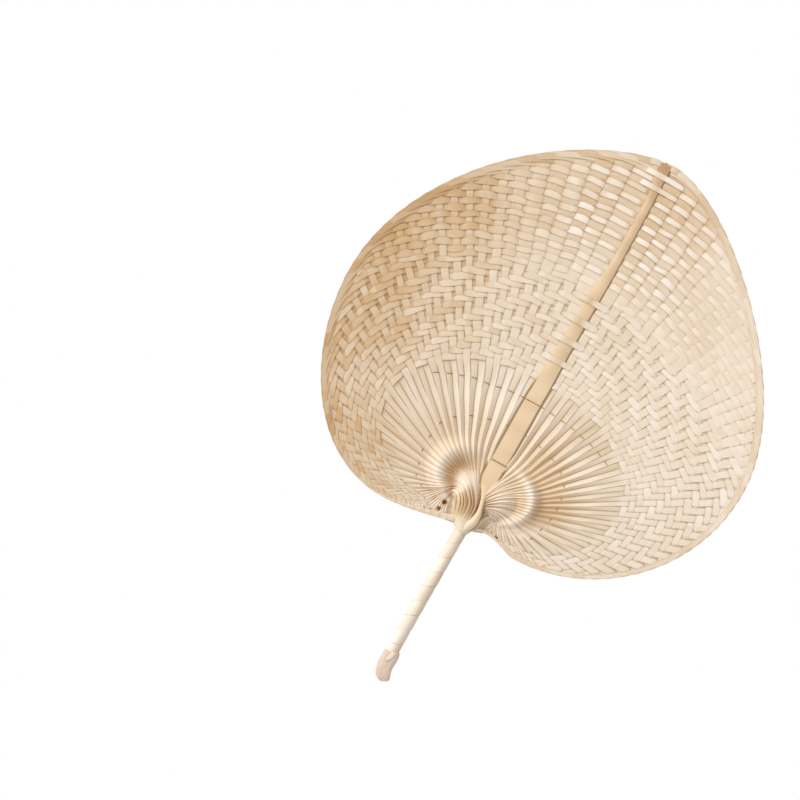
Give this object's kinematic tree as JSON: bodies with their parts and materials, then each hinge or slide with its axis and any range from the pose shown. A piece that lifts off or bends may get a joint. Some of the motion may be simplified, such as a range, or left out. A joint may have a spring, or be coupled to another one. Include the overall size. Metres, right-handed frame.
{
  "type": "palm leaf hand fan",
  "caption": "Heart-shaped hand fan of split palm leaf, pleated at the throat and woven with cross strips round a flat slat, on a wrapped stick handle.",
  "frame": {"origin": "middle of the grip, on the axis of the handle", "axes": "+Z from the handle to the tip of the blade, +X to the fan's right as seen from the front, +Y out of the back"},
  "size_m": [0.3047, 0.0213, 0.399],
  "materials": {
    "leaf": "dry split leaf, satin",
    "cross_strip": "dry split leaf, satin",
    "slat": "smooth planed, satin",
    "thread": "matte",
    "stick": "matte",
    "wrap": "dry leaf strip, satin",
    "collar": "dry gathered leaf, satin",
    "tag": "dry leaf, matte"
  },
  "bodies": {
    "root": {"spine_slat": "slat", "left_leaf": "leaf", "right_leaf": "leaf", "weft_01": "cross_strip", "weft_02": "cross_strip", "weft_03": "cross_strip", "weft_04": "cross_strip", "weft_05": "cross_strip", "weft_06": "cross_strip", "weft_07": "cross_strip", "weft_08": "cross_strip", "weft_09": "cross_strip", "weft_10": "cross_strip", "weft_11": "cross_strip", "weft_12": "cross_strip", "weft_13": "cross_strip", "weft_14": "cross_strip", "weft_15": "cross_strip", "weft_16": "cross_strip", "weft_17": "cross_strip", "weft_18": "cross_strip", "weft_19": "cross_strip", "weft_20": "cross_strip", "weft_21": "cross_strip", "left_edge_strip": "leaf", "right_edge_strip": "leaf", "ring_thread": "thread", "spine_tie_lower": "thread", "spine_tie_upper": "thread", "stalk": "stick", "handle_wrap": "wrap", "throat_collar": "collar", "butt_tag": "tag", "wrap_tail": "wrap"}
  },
  "joints": []
}
